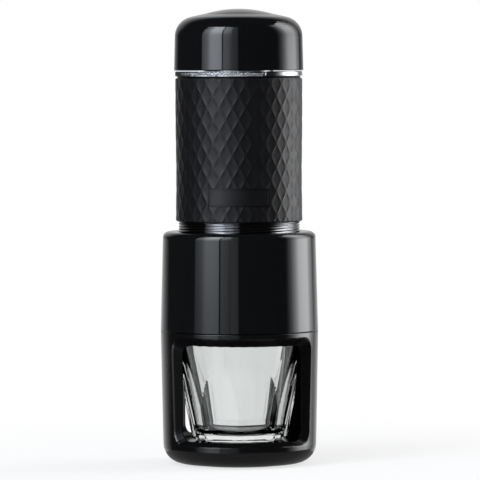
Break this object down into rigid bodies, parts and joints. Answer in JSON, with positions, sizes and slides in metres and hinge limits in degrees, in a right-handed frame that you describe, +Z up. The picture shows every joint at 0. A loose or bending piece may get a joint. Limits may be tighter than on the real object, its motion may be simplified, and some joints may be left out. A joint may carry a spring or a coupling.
{
  "type": "handheld manual espresso maker",
  "caption": "Handheld manual espresso maker: press cap over a pump and water tank with a diamond grip, screwed into a brew housing on a windowed cup stand with a glass cup.",
  "frame": {"origin": "centre of the stand's footprint, on the table", "axes": "+Z up along the maker's axis; the stand's two windows face -Y and +Y"},
  "size_m": [0.0728, 0.0728, 0.21],
  "materials": {
    "gloss_black": "high gloss moulded ABS, black",
    "stand_black": "semi-gloss moulded ABS, black",
    "silicone_black": "matte silicone, black",
    "chrome": "bright chrome plate",
    "steel": "stainless steel",
    "dark_plastic": "matte black nylon",
    "grey_plastic": "smoke grey food-safe plastic",
    "white_plastic": "natural acetal",
    "seal_red": "red silicone",
    "seal_black": "black rubber",
    "glass": "clear pressed glass"
  },
  "bodies": {
    "stand": {"stand_shell": "stand_black", "base_plate": "dark_plastic", "base_screws": "steel", "foot_ring": "seal_black"},
    "cup": {"glass_cup": "glass"},
    "housing": {"housing_shell": "gloss_black", "brew_chamber": "dark_plastic", "retaining_ring": "dark_plastic", "outlet_nozzle": "steel", "nozzle_seal": "seal_red"},
    "basket": {"filter_basket": "steel", "filter_plate": "steel"},
    "divider": {"divider_plate": "grey_plastic", "basket_gasket": "seal_red", "shower_screen": "steel"},
    "gasket": {"tank_gasket": "seal_red"},
    "spigot_ring": {"spigot_oring": "seal_black"},
    "tank": {"tank_body": "grey_plastic", "threaded_neck": "chrome", "grip_sleeve": "silicone_black", "top_collar": "chrome", "collar_seal": "seal_black", "guide_bush": "dark_plastic", "pump_barrel": "grey_plastic", "rod_guide": "dark_plastic", "inlet_valve": "seal_red", "valve_cage": "steel", "valve_spring": "steel", "return_spring": "steel"},
    "valve": {"valve_ball": "steel"},
    "plunger": {"plunger_tube": "chrome", "plunger_head": "dark_plastic", "piston_rod": "steel", "piston_head": "white_plastic", "piston_seal": "seal_black"},
    "cap": {"press_cap": "gloss_black", "cap_disc": "gloss_black"}
  },
  "joints": [
    {"name": "brewer_lift", "type": "slide", "parent": "stand", "child": "housing", "axis": [0, 0, 1], "range_m": [0, 0.12]},
    {"name": "cup_lift", "type": "slide", "parent": "stand", "child": "cup", "axis": [0, 0, 1], "range_m": [0, 0.066]},
    {"name": "tank_lift", "type": "slide", "parent": "housing", "child": "gasket", "axis": [0, 0, 1], "range_m": [0, 0.1]},
    {"name": "divider_lift", "type": "slide", "parent": "housing", "child": "divider", "axis": [0, 0, 1], "range_m": [0, 0.06]},
    {"name": "basket_lift", "type": "slide", "parent": "housing", "child": "basket", "axis": [0, 0, 1], "range_m": [0, 0.03]},
    {"name": "tank_rise", "type": "slide", "parent": "gasket", "child": "spigot_ring", "axis": [0, 0, 1], "range_m": [0, 0.00801]},
    {"name": "tank_turn", "type": "hinge", "parent": "spigot_ring", "child": "tank", "pos_m": [0, 0, 0.105], "axis": [0, 0, 1], "range_deg": [0, 480]},
    {"name": "outlet_valve", "type": "slide", "parent": "tank", "child": "valve", "axis": [0, 0, -1], "range_m": [0, 0.0012], "stiffness_N_per_m": 150, "springref_m": -0.004, "deforming": ["valve_spring"]},
    {"name": "plunger_stroke", "type": "slide", "parent": "tank", "child": "plunger", "axis": [0, 0, 1], "range_m": [0, 0.03], "deforming": ["return_spring"]},
    {"name": "cap_turn", "type": "hinge", "parent": "plunger", "child": "cap", "pos_m": [0, 0, 0.2], "axis": [0, 0, 1], "range_deg": [0, 60]}
  ],
  "couplings": [
    {"joint": "cup_lift", "follows": "brewer_lift", "ratio": 0.55},
    {"joint": "divider_lift", "follows": "tank_lift", "ratio": 0.6},
    {"joint": "basket_lift", "follows": "tank_lift", "ratio": 0.3},
    {"joint": "tank_rise", "follows": "tank_turn", "m_per_rad": 0.00095493}
  ]
}
